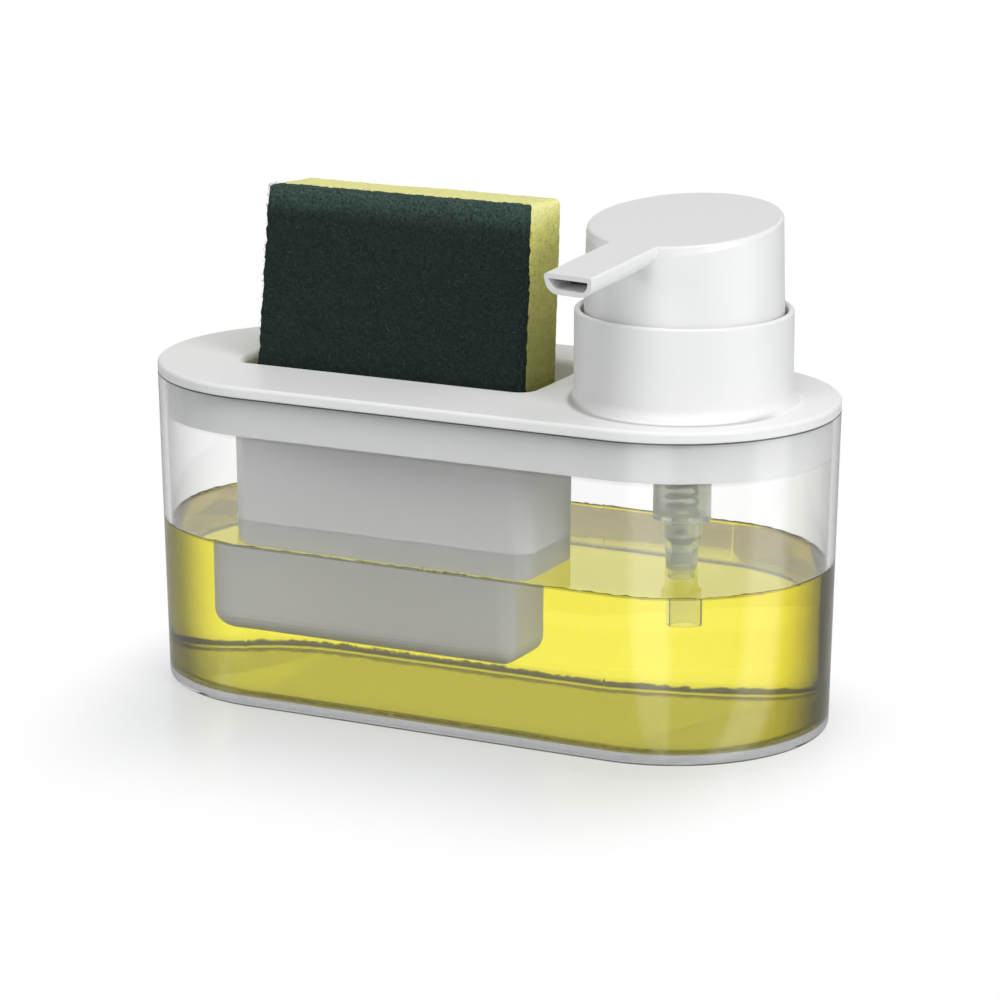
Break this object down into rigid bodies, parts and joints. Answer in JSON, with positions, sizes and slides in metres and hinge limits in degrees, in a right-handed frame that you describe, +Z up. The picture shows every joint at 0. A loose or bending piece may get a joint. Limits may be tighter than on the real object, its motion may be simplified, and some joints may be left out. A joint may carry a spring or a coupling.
{
  "type": "soap pump caddy",
  "caption": "Clear oval soap tank under a white lid that holds a round press-down pump head with a flat swivelling spout, and an upright sponge in its own drained pocket.",
  "frame": {"origin": "centre of the tank's foot, on the surface it stands on", "axes": "+X along the tank towards the pump, -Y the front, +Z up"},
  "size_m": [0.19, 0.0994, 0.1362],
  "materials": {
    "clear_plastic": "clear moulded plastic",
    "liquid_soap": "clear yellow liquid soap",
    "white_plastic": "satin white",
    "natural_plastic": "natural translucent plastic",
    "duct_plastic": "grey moulded plastic",
    "seal_rubber": "soft grey-white seal",
    "ball_steel": "polished ball",
    "spring_steel": "drawn wire",
    "foam": "yellow cellular foam",
    "scour_fibre": "dark green non-woven scouring fibre"
  },
  "bodies": {
    "base": {"tank": "clear_plastic", "soap": "liquid_soap"},
    "lid_assembly": {"lid": "white_plastic", "closure_nut": "white_plastic", "pump_gasket": "seal_rubber", "pump_housing": "natural_plastic", "housing_cap": "natural_plastic", "dip_tube": "natural_plastic", "return_spring": "spring_steel"},
    "plunger_seal": {"piston": "natural_plastic"},
    "pump_head": {"head_shell": "white_plastic", "nozzle_duct": "duct_plastic", "stem": "natural_plastic", "piston_rod": "natural_plastic"},
    "check_ball": {"valve_ball": "ball_steel"},
    "sponge": {"sponge_foam": "foam", "scour_pad": "scour_fibre"}
  },
  "joints": [
    {"name": "lid_lift", "type": "slide", "parent": "base", "child": "lid_assembly", "axis": [0, 0, 1], "range_m": [0, 0.1]},
    {"name": "pump_stroke", "type": "slide", "parent": "lid_assembly", "child": "plunger_seal", "axis": [0, 0, -1], "range_m": [0, 0.012], "stiffness_N_per_m": 900, "springref_m": -0.008, "deforming": ["return_spring"]},
    {"name": "head_swivel", "type": "hinge", "parent": "plunger_seal", "child": "pump_head", "pos_m": [0.056, -0.003, 0.08], "axis": [0, 0, 1], "range_deg": [-50, 240]},
    {"name": "ball_lift", "type": "slide", "parent": "lid_assembly", "child": "check_ball", "axis": [0, 0, 1], "range_m": [0, 0.002]},
    {"name": "sponge_lift", "type": "slide", "parent": "lid_assembly", "child": "sponge", "axis": [0, 0, 1], "range_m": [0, 0.075]}
  ]
}
